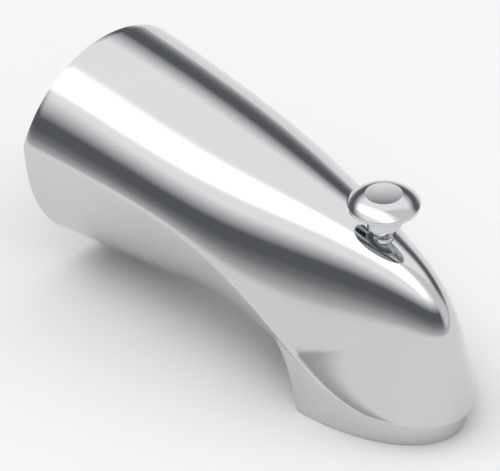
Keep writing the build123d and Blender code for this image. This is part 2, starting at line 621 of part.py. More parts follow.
with BuildPart() as gate_screw:
    with BuildSketch(Plane.XZ.offset(washer_front)):
        with Locations((0, gate_middle)):
            Circle(GATE_SCREW_HEAD_DIAMETER / 2)
    extrude(amount=-GATE_SCREW_HEAD_HEIGHT)
    with BuildSketch(Plane.XZ.offset(washer_front)):
        with Locations((0, gate_middle)):
            Circle(GATE_SCREW_DIAMETER / 2)
    extrude(amount=SEAT_GAP - WASHER_THICKNESS - GATE_SCREW_GRIP)
    with BuildSketch(Plane.XZ.offset(washer_front)):
        with Locations((0, gate_middle)):
            Rectangle(GATE_SCREW_HEAD_DIAMETER, DRIVER_SLOT_WIDTH)
    extrude(amount=-GATE_SCREW_HEAD_HEIGHT / 2, mode=Mode.SUBTRACT)

# One file for each piece

pieces = {
    "spout_body": spout_body,
    "wall_gasket": wall_gasket,
    "pipe_adapter": pipe_adapter,
    "rear_pipe_o_ring": rear_pipe_o_ring,
    "front_pipe_o_ring": front_pipe_o_ring,
    "set_screw": set_screw,
    "waterway_tube": waterway_tube,
    "tube_o_ring": tube_o_ring,
    "diverter_housing": diverter_housing,
    "housing_screws": housing_screws,
    "housing_gasket": housing_gasket,
    "housing_cover": housing_cover,
    "cover_screws": cover_screws,
    "stem_bushing": stem_bushing,
    "stem_o_ring": stem_o_ring,
    "diverter_knob": diverter_knob,
    "lift_stem": lift_stem,
    "diverter_gate": diverter_gate,
    "gate_washer": gate_washer,
    "gate_screw": gate_screw,
}
os.makedirs("parts", exist_ok=True)
for name, piece in pieces.items():
    piece.part.label = name
    export_step(piece.part, f"parts/{name}.step")
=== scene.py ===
import math
from contextlib import contextmanager

import bmesh
import bpy
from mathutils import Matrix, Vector


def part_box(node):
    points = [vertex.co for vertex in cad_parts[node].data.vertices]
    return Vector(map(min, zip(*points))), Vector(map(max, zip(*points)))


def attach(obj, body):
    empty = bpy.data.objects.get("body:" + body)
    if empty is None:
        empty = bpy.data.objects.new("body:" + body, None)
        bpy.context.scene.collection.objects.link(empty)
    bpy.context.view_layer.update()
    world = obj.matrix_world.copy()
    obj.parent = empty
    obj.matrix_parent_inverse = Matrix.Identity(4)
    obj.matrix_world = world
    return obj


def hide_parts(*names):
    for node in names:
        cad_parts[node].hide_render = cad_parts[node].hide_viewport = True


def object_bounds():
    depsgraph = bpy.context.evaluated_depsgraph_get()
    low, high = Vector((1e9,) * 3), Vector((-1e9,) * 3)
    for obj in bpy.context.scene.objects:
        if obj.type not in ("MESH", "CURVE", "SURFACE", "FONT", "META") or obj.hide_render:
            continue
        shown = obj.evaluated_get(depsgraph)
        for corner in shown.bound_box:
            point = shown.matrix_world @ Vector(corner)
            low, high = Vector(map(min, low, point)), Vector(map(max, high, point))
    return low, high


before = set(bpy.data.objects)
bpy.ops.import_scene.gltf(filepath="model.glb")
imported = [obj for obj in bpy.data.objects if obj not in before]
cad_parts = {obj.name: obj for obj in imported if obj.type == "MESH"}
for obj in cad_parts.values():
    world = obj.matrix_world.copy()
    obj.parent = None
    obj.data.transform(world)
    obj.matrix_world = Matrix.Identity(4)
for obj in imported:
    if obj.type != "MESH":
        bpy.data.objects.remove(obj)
cad_low, cad_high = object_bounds()

# Spout body
# One hollow casting in zinc alloy, polished and chrome plated: a crowned hood over a keeled hull, which meet
# in one crease, and a D-shaped outlet skirt under the nose. A ribbed hub in its open back holds the sleeve.

mm = 0.001
weld_gap = 0.001 * mm


class Value:
    """One output socket of a node tree. Arithmetic on it adds Math nodes to that tree."""

    def __init__(self, tree, socket):
        self.tree = tree
        self.socket = socket

    def math(self, operation, *others):
        terms = dict(enumerate((self, *others)))
        return self.tree.node("ShaderNodeMath", {"operation": operation}, terms)

    def __add__(self, other):
        return self.math("ADD", other)

    __radd__ = __add__

    def __sub__(self, other):
        return self.math("SUBTRACT", other)

    def __rsub__(self, other):
        return self * -1 + other

    def __mul__(self, other):
        return self.math("MULTIPLY", other)

    __rmul__ = __mul__

    def __truediv__(self, other):
        return self.math("DIVIDE", other)

    def __pow__(self, other):
        return self.math("POWER", other)

    def __abs__(self):
        return self.math("ABSOLUTE")

    def __gt__(self, other):
        return self.math("GREATER_THAN", other)

    def __lt__(self, other):
        return self.math("LESS_THAN", other)


class Tree:
    """A node tree under construction, for a shape or for a finish."""

    def __init__(self, nodes):
        self.nodes = nodes

    def node(self, kind, settings, inputs, output=0):
        """Adds one node: its settings first, then the values or links of its sockets."""
        made = self.nodes.nodes.new(kind)
        for name, setting in settings.items():
            if name == "stops":
                stops = made.color_ramp.elements
                while len(stops) < len(setting):
                    stops.new(1)
                for stop, (place, colour) in zip(stops, setting):
                    stop.position = place
                    stop.color = (*colour, 1)
            else:
                setattr(made, name, setting)
        for key, given in inputs.items():
            for one in given if isinstance(given, list) else [given]:
                if isinstance(one, Value):
                    self.nodes.links.new(one.socket, made.inputs[key])
                else:
                    made.inputs[key].default_value = one
        return Value(self, made.outputs[output]) if made.outputs else made

    def vector(self, *numbers):
        """A vector of up to three numbers."""
        return self.node("ShaderNodeCombineXYZ", {}, dict(enumerate(numbers)))

    def parts(self, vector):
        """The three numbers of a vector."""
        first = self.node("ShaderNodeSeparateXYZ", {}, {0: vector})
        return [Value(self, socket) for socket in first.socket.node.outputs]


def shape_tree(name, sizes):
    """A Geometry Nodes tree with one named input for each size. Returns it and the inputs' values."""
    nodes = bpy.data.node_groups.new(name, "GeometryNodeTree")
    kinds = {float: "NodeSocketFloat", int: "NodeSocketInt", Vector: "NodeSocketVector"}
    for size, amount in sizes.items():
        nodes.interface.new_socket(size, in_out="INPUT", socket_type=kinds[type(amount)])
    nodes.interface.new_socket("Finish", in_out="INPUT", socket_type="NodeSocketMaterial")
    nodes.interface.new_socket("Shape", in_out="OUTPUT", socket_type="NodeSocketGeometry")
    entry = nodes.nodes.new("NodeGroupInput")
    tree = Tree(nodes)
    return tree, {socket.name: Value(tree, socket) for socket in entry.outputs if socket.name}


def close_tree(tree, shape, finish):
    """The tree's last steps: instances made real, smooth faces and the finish."""
    real = tree.node("GeometryNodeRealizeInstances", {}, {"Geometry": shape})
    smooth = tree.node("GeometryNodeSetShadeSmooth", {}, {"Geometry": real})
    finished = tree.node("GeometryNodeSetMaterial", {}, {"Geometry": smooth, "Material": finish})
    tree.node("NodeGroupOutput", {}, {"Shape": finished})


def new_piece(name, mesh):
    """An object at the origin that shows this mesh."""
    piece = bpy.data.objects.new(name, mesh)
    bpy.context.scene.collection.objects.link(piece)
    return piece


def plain_mesh(piece):
    """The piece's mesh with its modifiers worked into it."""
    evaluated = piece.evaluated_get(bpy.context.evaluated_depsgraph_get())
    return bpy.data.meshes.new_from_object(evaluated)


def grown(name, tree, sizes, finish):
    """The plain mesh that a shape tree gives for these sizes."""
    seed = new_piece(name, bpy.data.meshes.new(name))
    step = seed.modifiers.new(name, "NODES")
    step.node_group = tree.nodes
    for socket in tree.nodes.interface.items_tree:
        if socket.in_out == "INPUT":
            step[socket.identifier] = finish if socket.name == "Finish" else sizes[socket.name]
    mesh = plain_mesh(seed)
    bpy.data.objects.remove(seed)
    return mesh


# The shell's sizes, from its wall end to its nose: Ogee is the crease's S-curve, Ridge the hood's top line
shell_sizes = {
    "Stations": 170,
    "Points Around": 145,
    "Reach": 151.5 * mm,
    "Crease Height": 10.6 * mm,
    "Wall Half Width": 34.5 * mm,
    "Wall Rise": 23.8 * mm,
    "Wall Depth": 45.1 * mm,
    "Nose Half Width": 27.3 * mm,
    "Nose Length": 43.6 * mm,
    "Taper Power": 1.1,
    "Ogee Drop": 45.4 * mm,
    "Ogee Setback": 50.3 * mm,
    "Ogee Run": 36.0 * mm,
    "Lip Length": 18.0 * mm,
    "Lip Depth": 27.2 * mm,
    "Depth Power": 1.7,
    "Wall Flank": math.radians(69.3),
    "Nose Flank": math.radians(64.8),
    "Wall Lean": 0.06,
    "Nose Lean": 0.5,
    "Station Power": 0.82,
    "Ridge Wall Pull": 55.6 * mm,
    "Ridge Wall Fall": 3.6 * mm,
    "Ridge Nose Pull": 15.2 * mm,
    "Ridge Nose Height": 4.4 * mm,
    "Ridge Tip Height": 18.8 * mm,
    "Inset": 0.0,
    "Floor Growth": 40.0,
    "Floor Power": 9.0,
    "End Share": 1.0,
    "Wall Overrun": 0.0,
}
shell, size = shape_tree("creased_shell", shell_sizes)


def ease(start, end, share):
    """The value this share of the way from start to end, in sockets or in numbers."""
    return start + (end - start) * share


def clamp(amount):
    """An amount held between 0 and 1, as a socket or as a number."""
    if isinstance(amount, Value):
        return amount.math("MAXIMUM", 0).math("MINIMUM", 1)
    return min(1, max(0, amount))


def tanh(amount):
    """The hyperbolic tangent of a socket or of a number."""
    return amount.math("TANH") if isinstance(amount, Value) else math.tanh(amount)


def crease_height(size, reach):
    """Height of the crease, in sockets or in numbers: an S-curve from the wall down to the nose tip."""
    middle = size["Reach"] - size["Ogee Setback"]
    fall = tanh((reach - middle) / size["Ogee Run"]) + tanh(middle / size["Ogee Run"])
    return size["Crease Height"] - size["Ogee Drop"] * fall / 2


def crease_half_width(size, reach):
    """Half the width between the two creases: an easy taper, then the ellipse of the nose."""
    straight = size["Reach"] - size["Nose Length"]
    share = (1 - reach / straight).math("MAXIMUM", 0)
    taper = ease(size["Nose Half Width"], size["Wall Half Width"], share ** size["Taper Power"])
    along = ((reach - straight) / size["Nose Length"]).math("MAXIMUM", 0)
    return taper * (1 - along * along).math("MAXIMUM", 0).math("SQRT")


def quartic(points):
    """The powers' factors of a smooth curve that five points pull."""
    a, b, c, d, e = points
    return [
        a,
        (b - a) * 4,
        (a - b * 2 + c) * 6,
        (b * 3 - a - c * 3 + d) * 4,
        a - b * 4 + c * 6 - d * 4 + e,
    ]


def at(factors, place):
    """A polynomial's value, worked out from its highest power down."""
    total = factors[-1]
    for factor in reversed(factors[:-1]):
        total = total * place + factor
    return total


def slope(factors):
    """The factors of a polynomial's slope."""
    return [factor * power for power, factor in enumerate(factors) if power]


def grid_shares(tree):
    """How far each point of a plain grid lies along its two sides, from 0 to 1."""
    spot = tree.node("GeometryNodeInputPosition", {}, {})
    return [part + 0.5 for part in tree.parts(spot)[:2]]


def shut_rows(along, count):
    """A grid's rows by number, by even share along, and as 1 on all but the two that shut its ends."""
    row = along * (count - 1)
    even = clamp((row - 1) / (count - 3))
    return row, even, (row > 0.5) * (row < count - 1.5)


def shaped(tree, grid, spot):
    """A grid with its points moved to their places, and those that meet made one."""
    moved = tree.node("GeometryNodeSetPosition", {}, {"Geometry": grid, "Position": spot})
    return tree.node("GeometryNodeMergeByDistance", {}, {"Geometry": moved, "Distance": weld_gap})


# The grid's own X runs along the spout and its Y around each section; its first and last rows shut the ends
grid = shell.node(
    "GeometryNodeMeshGrid", {}, {"Vertices X": size["Stations"], "Vertices Y": size["Points Around"]}
)
along, around = grid_shares(shell)
row, even, open_row = shut_rows(along, size["Stations"])
share = even * size["End Share"]

# The sections fan out from upright at the wall to nearly level at the lip
lip_reach = size["Reach"] - size["Lip Length"]
reach = lip_reach * share ** size["Station Power"]
tip_height = crease_height(size, size["Reach"])
lip_tilt = size["Lip Length"].math("ARCTAN2", tip_height - crease_height(size, lip_reach))
tilt = lip_tilt * (reach / lip_reach) ** 2
chord_height = crease_height(size, reach)
wall_crown = size["Crease Height"] + size["Wall Rise"]
ridge_reach = quartic(
    [
        0,
        size["Ridge Wall Pull"],
        size["Reach"] - size["Ridge Nose Pull"],
        size["Reach"],
        size["Reach"],
    ]
)
ridge_height = quartic(
    [
        wall_crown,
        wall_crown - size["Ridge Wall Fall"],
        size["Crease Height"] + size["Ridge Nose Height"],
        size["Crease Height"] + size["Ridge Tip Height"],
        tip_height,
    ]
)

# Where each section's own upright meets the ridge, found by stepping down the slope of the miss
guess_power = 1.2
ridge_steps = 7
place = share**guess_power
cosine = tilt.math("COSINE")
sine = tilt.math("SINE")
for step in range(ridge_steps):
    miss = (at(ridge_reach, place) - reach) * cosine - (at(ridge_height, place) - chord_height) * sine
    gain = at(slope(ridge_reach), place) * cosine - at(slope(ridge_height), place) * sine
    place = clamp(place - miss / gain)
crown_forward = at(ridge_reach, place) - reach
crown_upward = at(ridge_height, place) - chord_height
crown_length = (crown_forward * crown_forward + crown_upward * crown_upward).math("SQRT")

# One section: the hood's arch, then the hull's keel, each a cubic with two equal pulls. Halfway round stands
# a little short of a half, so that rounding can't move the point on the crease.
pull = 4 / 3
halfway = 0.4999
half = crease_half_width(size, reach) - size["Inset"]
rise = (crown_length - size["Inset"]) * pull
floor_wall = size["Inset"] * (1 + size["Floor Growth"] * share ** size["Floor Power"])
depth = (ease(size["Wall Depth"], size["Lip Depth"], share ** size["Depth Power"]) - floor_wall) * pull
flank = ease(size["Wall Flank"], size["Nose Flank"], share * share)
arch_half = half - rise / flank.math("TANGENT")
keel_half = half - depth * ease(size["Wall Lean"], size["Nose Lean"], share.math("SQRT"))
under = around > halfway
turn = around * 2 - under
left = 1 - turn
swell = ease(arch_half, keel_half, under) * (turn * turn * left - left * left * turn) * 3
sway = half * (turn**3 - left**3) + swell
lift = ease(rise, depth * -1, under) * turn * left * 3
sideways = sway * (1 - under * 2) * open_row
forward = reach + lift * crown_forward / crown_length * open_row
upward = chord_height + lift * crown_upward / crown_length * open_row
overrun = size["Wall Overrun"] * (row < 1.5)
skin = shaped(shell, grid, shell.vector(sideways, overrun - forward, upward))
close_tree(shell, skin, size["Finish"])


def finish_tree(name):
    """A new material's node tree, with its shader."""
    finish = bpy.data.materials.new(name)
    finish.use_nodes = True
    finish.node_tree.nodes.clear()
    tree = Tree(finish.node_tree)
    shader = finish.node_tree.nodes.new("ShaderNodeBsdfPrincipled")
    tree.node("ShaderNodeOutputMaterial", {}, {"Surface": Value(tree, shader.outputs[0])})
    return finish, tree, shader


def feed(tree, shader, **values):
    """Links what varies, and sets what doesn't on the shader's own socket."""
    for name, value in values.items():
        socket = shader.inputs[name.replace("_", " ")]
        if isinstance(value, Value):
            tree.nodes.links.new(value.socket, socket)
        else:
            socket.default_value = value


def object_noise(tree, scale, detail, stretch=(1, 1, 1)):
    """Noise on the piece's own coordinates, so that it stays with the piece."""
    spot = tree.node("ShaderNodeTexCoord", {}, {}, "Object")
    drawn = tree.node("ShaderNodeMapping", {}, {"Vector": spot, "Scale": stretch})
    return tree.node("ShaderNodeTexNoise", {}, {"Vector": drawn, "Scale": scale, "Detail": detail})


def blend_colours(tree, share, one, other):
    """Two colours mixed by a share. A colour is three numbers or another node's output."""
    one, other = (colour if isinstance(colour, Value) else (*colour, 1) for colour in (one, other))
    return tree.node("ShaderNodeMix", {"data_type": "RGBA"}, {0: share, 6: one, 7: other}, 2)


def relief(tree, pattern, strength, depth):
    """A bump that follows a pattern."""
    return tree.node("ShaderNodeBump", {}, {"Height": pattern, "Strength": strength, "Distance": depth})


def polished_chrome():
    """Bright plate over a polished casting: a faint haze where cloths have wiped it, and a soft waviness."""
    hazy = (0.60, 0.61, 0.625)
    clear = (0.66, 0.67, 0.68)
    finish, tree, shader = finish_tree("polished_chrome")
    haze = object_noise(tree, scale=55, detail=4)
    wipes = object_noise(tree, scale=140, detail=6, stretch=(1, 0.25, 1))
    waviness = object_noise(tree, scale=35, detail=1)
    feed(
        tree,
        shader,
        Base_Color=blend_colours(tree, haze, hazy, clear),
        Metallic=1.0,
        Roughness=0.035 + haze * 0.03 + wipes * 0.025,
        Normal=relief(tree, waviness, strength=0.05, depth=0.2 * mm),
    )
    return finish


def raw_casting():
    """The inside of the casting: grey zinc as it left the die, dull and slightly grainy."""
    dull = (0.44, 0.45, 0.465)
    pale = (0.58, 0.585, 0.595)
    finish, tree, shader = finish_tree("raw_casting")
    flow = object_noise(tree, scale=90, detail=5)
    grain = object_noise(tree, scale=1400, detail=3)
    feed(
        tree,
        shader,
        Base_Color=blend_colours(tree, flow, dull, pale),
        Metallic=0.6,
        Roughness=0.42 + flow * 0.2,
        Normal=relief(tree, grain, strength=0.35, depth=0.1 * mm),
    )
    return finish


@contextmanager
def opened(mesh):
    """A mesh opened for work on its points, edges and faces, and written back afterwards."""
    work = bmesh.new()
    work.from_mesh(mesh)
    yield work
    work.to_mesh(mesh)
    work.free()


def round_edges(work, chosen, width, segments):
    """Rounds the chosen edges of an opened mesh."""
    edges = [edge for edge in work.edges if len(edge.link_faces) == 2 and chosen(edge)]
    bmesh.ops.bevel(
        work, geom=edges, offset=width, segments=segments, profile=0.5, affect="EDGES", clamp_overlap=True
    )


def soften(mesh, chosen, width):
    """Rounds the chosen edges of the casting, as polishing does."""
    with opened(mesh) as work:
        round_edges(work, chosen, width, segments=3)
        bmesh.ops.recalc_face_normals(work, faces=work.faces)


chrome = polished_chrome()
casting = raw_casting()
crease_round = 0.5 * mm
crease_angle = math.radians(12)
outer_skin = grown("outer_skin", shell, shell_sizes, chrome)
soften(outer_skin, lambda edge: edge.calc_face_angle() > crease_angle, crease_round)

# Outlet skirt: a D, flat towards the wall, that grows towards its top, just inside the crease. Its flat back
# sweeps into the hull.
outlet_z = cad_low.z
outlet_half = 23.6 * mm
outlet_round = 41.2 * mm
outlet_straight = 3.0 * mm
outlet_corner = 2.5 * mm
outlet_setback = 2.7 * mm
outlet_centre = shell_sizes["Reach"] - outlet_setback - outlet_round
outlet_steps = 96
outlet_corner_steps = 8
skirt_height = 20.6 * mm
side_flare = 1.8 * mm
back_flare = 3.6 * mm
skirt_overlap = 1.0 * mm
skirt_root = 9.0 * mm
skirt_steps = 16
back_sweep = 3.0 * mm
sweep_start = 0.45


def arc(centre, across, along, start, end, steps):
    """Points on an ellipse's arc in plan, from one angle to another."""
    turns = [math.radians(ease(start, end, step / steps)) for step in range(steps + 1)]
    return [(centre[0] + across * math.cos(turn), centre[1] + along * math.sin(turn)) for turn in turns]


def outlet_outline(rise, side_wall, nose_wall):
    """The D in plan, so far above the rim, drawn in by its walls."""
    flare = rise / skirt_height
    half = outlet_half + side_flare * flare - side_wall
    centre = outlet_centre + side_wall
    corner = outlet_straight + back_flare * flare - centre - outlet_corner
    inner = half - outlet_corner
    return (
        arc((0, -centre), half, outlet_round - side_wall - nose_wall, -180, 0, outlet_steps)
        + arc((inner, corner), outlet_corner, outlet_corner, 0, 90, outlet_corner_steps)
        + arc((-inner, corner), outlet_corner, outlet_corner, 90, 180, outlet_corner_steps)
    )


def ruled(name, rows, finish):
    """A closed solid through rows of as many points each, with flat ends."""
    count = len(rows[0])
    walls = []
    for row in range(len(rows) - 1):
        for spot in range(count):
            here = row * count + spot
            beside = row * count + (spot + 1) % count
            walls.append((here, beside, beside + count, here + count))
    last = (len(rows) - 1) * count
    ends = [tuple(range(count)), tuple(range(last, last + count))]
    mesh = bpy.data.meshes.new(name)
    mesh.from_pydata([point for row in rows for point in row], [], walls + ends)
    mesh.materials.append(finish)
    with opened(mesh) as work:
        bmesh.ops.recalc_face_normals(work, faces=work.faces)
    mesh.shade_smooth()
    return new_piece(name, mesh)


rim_outline = outlet_outline(0, 0, 0)
top_outline = outlet_outline(skirt_height, 0, 0)
skirt_rows = []
for step in range(skirt_steps + 1):
    row = []
    for low, high in zip(rim_outline, top_outline):
        crease_rise = crease_height(shell_sizes, -low[1]) - outlet_z
        top = min(skirt_height + skirt_root, crease_rise + skirt_overlap)
        rise = top * step / skirt_steps
        share = rise / skirt_height
        behind = clamp((low[1] + outlet_centre) / outlet_straight)
        sweep = back_sweep * behind * (max(0, share - sweep_start) / (1 - sweep_start)) ** 2
        row.append((ease(low[0], high[0], share), ease(low[1], high[1], share) + sweep, outlet_z + rise))
    skirt_rows.append(row)
skirt = ruled("skirt", skirt_rows, chrome)

# Hollow: the same shell, drawn in by its wall, and the mouth inside the skirt
overcut = 1.0 * mm
hollow_sizes = {
    **shell_sizes,
    "Stations": 90,
    "Points Around": 97,
    "Inset": 2.8 * mm,
    "End Share": 0.85,
    "Wall Overrun": overcut,
}
mouth_side_wall = 3.0 * mm
mouth_nose_wall = 4.9 * mm
mouth_height = 25.5 * mm
hollow = new_piece("hollow", grown("hollow", shell, hollow_sizes, casting))
mouth_outline = outlet_outline(0, mouth_side_wall, mouth_nose_wall)
mouth_rows = [[(x, y, outlet_z + rise) for x, y in mouth_outline] for rise in (-2 * overcut, mouth_height)]
mouth = ruled("mouth", mouth_rows, casting)

# In the hollow: a hub and cross ribs for the sleeve, and bosses for its screw, the rod and the valve box
play = 0.05 * mm
hub_start = 4.1 * mm
hub_end = 32.1 * mm
hub_radius = 15.5 * mm
sleeve_bore = 11.05 * mm
rib_half = 1.5 * mm
far = 60.0 * mm
screw_reach = 18.0 * mm
screw_boss = 6.0 * mm
screw_bore = 3.05 * mm
rod_low, rod_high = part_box("lift_stem")
rod_axis = (rod_low + rod_high) / 2
bushing_low, bushing_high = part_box("stem_bushing")
flange_height = 2.0 * mm
boss_foot = bushing_low.z + flange_height + play
roof_boss = 6.5 * mm
bushing_bore = 2.95 * mm
post_half_spacing = 14.5 * mm
post_setback = 2.2 * mm
post_spots = [(side * post_half_spacing, rod_axis.y + post_setback) for side in (-1, 1)]
post_foot = -8.0 * mm
post_radius = 3.3 * mm
post_bore = 1.8 * mm
post_bore_end = post_foot + 7.0 * mm
round_steps = 96
small_steps = 32


def ring_points(centre, radius, axis, place, count):
    """Points of a circle about Y or Z, at one place along that axis."""
    spots = arc((0, 0), radius, radius, 0, 360 * (1 - 1 / count), count - 1)
    if axis == "Y":
        return [(centre[0] + a, place, centre[1] + b) for a, b in spots]
    return [(centre[0] + a, centre[1] + b, place) for a, b in spots]


def rod(name, centre, radius, axis, start, end, finish, sides=64):
    """A plain round tool along Y or Z."""
    return ruled(name, [ring_points(centre, radius, axis, place, sides) for place in (start, end)], finish)


def plate(name, low, high, finish):
    """A plain square-edged tool between two corners."""
    corners = [(low[0], low[1]), (high[0], low[1]), (high[0], high[1]), (low[0], high[1])]
    return ruled(name, [[(x, y, z) for x, y in corners] for z in (low[2], high[2])], finish)


def combine(piece, operation, *tools):
    """Works other solids into a piece, and removes them."""
    for tool in tools:
        step = piece.modifiers.new(tool.name, "BOOLEAN")
        step.operation = operation
        step.solver = "EXACT"
        step.material_mode = "TRANSFER"
        step.object = tool
    mesh = plain_mesh(piece)
    piece.modifiers.clear()
    piece.data = mesh
    for tool in tools:
        bpy.data.objects.remove(tool)


posts = []
post_bores = []
for spot in post_spots:
    posts.append(rod("post", spot, post_radius, "Z", post_foot, far, casting))
    post_bores.append(
        rod("post_bore", spot, post_bore, "Z", post_foot - overcut, post_bore_end, casting, small_steps)
    )
combine(hollow, "UNION", mouth)
combine(
    hollow,
    "DIFFERENCE",
    rod("hub", (0, 0), hub_radius, "Y", -hub_end, -hub_start, casting, round_steps),
    plate("level_rib", (-far, -hub_end, -rib_half), (far, -hub_start, rib_half), casting),
    plate("upright_rib", (-rib_half, -hub_end, -far), (rib_half, -hub_start, far), casting),
    rod("screw_boss", (0, -screw_reach), screw_boss, "Z", -far, 0, casting),
    rod("roof_boss", (0, rod_axis.y), roof_boss, "Z", boss_foot, far, casting),
    *posts,
)
body = new_piece("body", outer_skin)
combine(body, "UNION", skirt)
combine(
    body,
    "DIFFERENCE",
    hollow,
    rod("sleeve_bore", (0, 0), sleeve_bore, "Y", -hub_end - overcut, overcut, casting, round_steps),
    rod("screw_bore", (0, -screw_reach), screw_bore, "Z", -far, 0, casting),
    rod("bushing_bore", (0, rod_axis.y), bushing_bore, "Z", boss_foot - overcut, far, casting),
    *post_bores,
)
rim_round = 0.45 * mm
rim_angle = math.radians(40)
body_sharp_angle = math.radians(32)


def on_rim(edge):
    """True on the sharp edges of the open back and of the outlet."""
    on_back = all(abs(end.co.y) < weld_gap for end in edge.verts)
    on_outlet = all(abs(end.co.z - outlet_z) < weld_gap for end in edge.verts)
    return (on_back or on_outlet) and edge.calc_face_angle() > rim_angle


soften(body.data, on_rim, rim_round)
body.data.shade_smooth()
body.data.set_sharp_from_angle(angle=body_sharp_angle)
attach(body, "spout")
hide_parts("spout_body")

# Diverter knob
# Turned from brass bar and chrome plated: a shallow dome with a dished flat, a thin rim, and a collar that
# tapers to the rod. It is screwed on the lift rod, and a finger pulls it up by the underside of its disc.

corner_steps = 5
sharp_angle = math.radians(35)


def rounded(profile, loop):
    """A turned profile's points, with each corner rounded by its own radius."""
    count = len(profile)
    points = []
    for place, (radius, along, bend) in enumerate(profile):
        here = Vector((radius, along))
        if not bend or (not loop and place in (0, count - 1)):
            points.append(here)
            continue
        before = (Vector(profile[place - 1][:2]) - here).normalized()
        after = (Vector(profile[(place + 1) % count][:2]) - here).normalized()
        half_angle = before.angle(after) / 2
        reach = bend / math.tan(half_angle)
        middle = here + (before + after).normalized() * (bend / math.sin(half_angle))
        first = here + before * reach - middle
        last = here + after * reach - middle
        for step in range(corner_steps + 1):
            points.append(middle + first.slerp(last, step / corner_steps).normalized() * bend)
    return points


def turned(name, profile, finish, axis="Z", centre=(0, 0), loop=False, steps=128):
    """A piece turned on a lathe: its profile, as radius, height and corner round, spun about Y or Z."""
    work = bmesh.new()
    rings = []
    for radius, along in rounded(profile, loop):
        points = ring_points(centre, radius, axis, along, steps)
        if radius < weld_gap:
            points = points[:1]
        rings.append([work.verts.new(point) for point in points])
    for one, other in zip(rings, rings[1:] + rings[:1] if loop else rings[1:]):
        for step in range(steps):
            corners = [
                one[step % len(one)],
                one[(step + 1) % len(one)],
                other[(step + 1) % len(other)],
                other[step % len(other)],
            ]
            work.faces.new(dict.fromkeys(corners))
    bmesh.ops.recalc_face_normals(work, faces=work.faces)
    mesh = bpy.data.meshes.new(name)
    work.to_mesh(mesh)
    work.free()
    mesh.materials.append(finish)
    mesh.shade_smooth()
    mesh.set_sharp_from_angle(angle=sharp_angle)
    return new_piece(name, mesh)


knob_low, knob_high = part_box("diverter_knob")
disc_radius = (knob_high.x - knob_low.x) / 2
disc_edge = 0.35 * mm
flat_radius = 5.7 * mm
flat_edge = 0.3 * mm
knob_dish = 0.5 * mm
dome_swell = 0.5 * mm
dome_steps = 10
rim_foot = knob_high.z - 4.6 * mm
rim_top = knob_high.z - 3.3 * mm
undercut = 0.8 * mm
collar_radius = 5.6 * mm
collar_foot = knob_low.z + 3.9 * mm
collar_edge = 0.4 * mm
foot_radius = 2.9 * mm
foot_edge = 0.15 * mm
rod_hole = 2.05 * mm
hole_edge = 0.1 * mm
hole_roof = knob_low.z + 9.0 * mm
dome_start = Vector((flat_radius, knob_high.z))
dome_end = Vector((disc_radius, rim_top))
outward = (dome_end - dome_start).orthogonal().normalized()
dome = []
for step in range(1, dome_steps):
    share = step / dome_steps
    spot = dome_start.lerp(dome_end, share) + outward * dome_swell * 4 * share * (1 - share)
    dome.append((spot.x, spot.y, 0))
knob = turned(
    "knob",
    [
        (0, knob_high.z - knob_dish, 0),
        (flat_radius, knob_high.z, flat_edge),
        *dome,
        (disc_radius, rim_top, disc_edge),
        (disc_radius, rim_foot, disc_edge),
        (collar_radius, rim_foot + undercut, collar_edge),
        (collar_radius, collar_foot, collar_edge),
        (foot_radius, knob_low.z, foot_edge),
        (rod_hole, knob_low.z, hole_edge),
        (rod_hole, hole_roof, 0),
        (0, hole_roof, 0),
    ],
    chrome,
    centre=(rod_axis.x, rod_axis.y),
)
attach(knob, "diverter")
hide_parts("diverter_knob")

# Lift rod
# Drawn stainless rod: its top is screwed into the knob, and a headed hook at its foot carries the gate.
# Water and the rod's ring keep it bright, with fine marks along its length.


def stainless_steel():
    """Drawn and turned stainless: a soft grey shine with fine marks along the bar."""
    dark = (0.6, 0.605, 0.61)
    light = (0.7, 0.705, 0.71)
    finish, tree, shader = finish_tree("stainless_steel")
    marks = object_noise(tree, scale=900, detail=3, stretch=(1, 1, 0.05))
    cloud = object_noise(tree, scale=120, detail=3)
    feed(
        tree,
        shader,
        Base_Color=blend_colours(tree, cloud, dark, light),
        Metallic=1.0,
        Roughness=0.2 + marks * 0.15,
        Normal=relief(tree, marks, strength=0.12, depth=0.05 * mm),
    )
    return finish


steel = stainless_steel()
rod_radius = rod_hole - play
rod_edge = 0.2 * mm
neck_radius = 1.2 * mm
neck_edge = 0.15 * mm
hook_radius = (rod_high.x - rod_low.x) / 2
hook_top = rod_low.z + 2.0 * mm
shoulder = hook_top + 2.6 * mm
lift_rod = turned(
    "lift_rod",
    [
        (0, rod_high.z, 0),
        (rod_radius, rod_high.z, rod_edge),
        (rod_radius, shoulder, neck_edge),
        (neck_radius, shoulder, neck_edge),
        (neck_radius, hook_top, neck_edge),
        (hook_radius, hook_top, rod_edge),
        (hook_radius, rod_low.z, rod_edge),
        (0, rod_low.z, 0),
    ],
    steel,
    centre=(rod_axis.x, rod_axis.y),
    steps=64,
)
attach(lift_rod, "diverter")
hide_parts("lift_stem")

# Rod bushing
# A small chromed brass collar that guides the rod through the roof. Its flange is held from below, between
# the roof's boss and the valve box, so no fastener shows.

flange_radius = (bushing_high.x - bushing_low.x) / 2
flange_top = bushing_low.z + flange_height
bushing_neck = bushing_bore - play
bushing_edge = 0.2 * mm
lead_in = 0.15 * mm
bushing = turned(
    "rod_bushing",
    [
        (rod_hole, bushing_low.z, lead_in),
        (flange_radius, bushing_low.z, bushing_edge),
        (flange_radius, flange_top, bushing_edge),
        (bushing_neck, flange_top, 0),
        (bushing_neck, bushing_high.z, bushing_edge),
        (rod_hole, bushing_high.z, bushing_edge),
    ],
    chrome,
    centre=(rod_axis.x, rod_axis.y),
    loop=True,
    steps=96,
)
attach(bushing, "spout")
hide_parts("stem_bushing")

# Pipe sleeve and waterway tube
# Both are bare brass. The sleeve is turned, sits in the body's hub and slips over the supply pipe. Two
# grooves in its bore hold rings, and its front socket takes the drawn tube that leads to the valve.


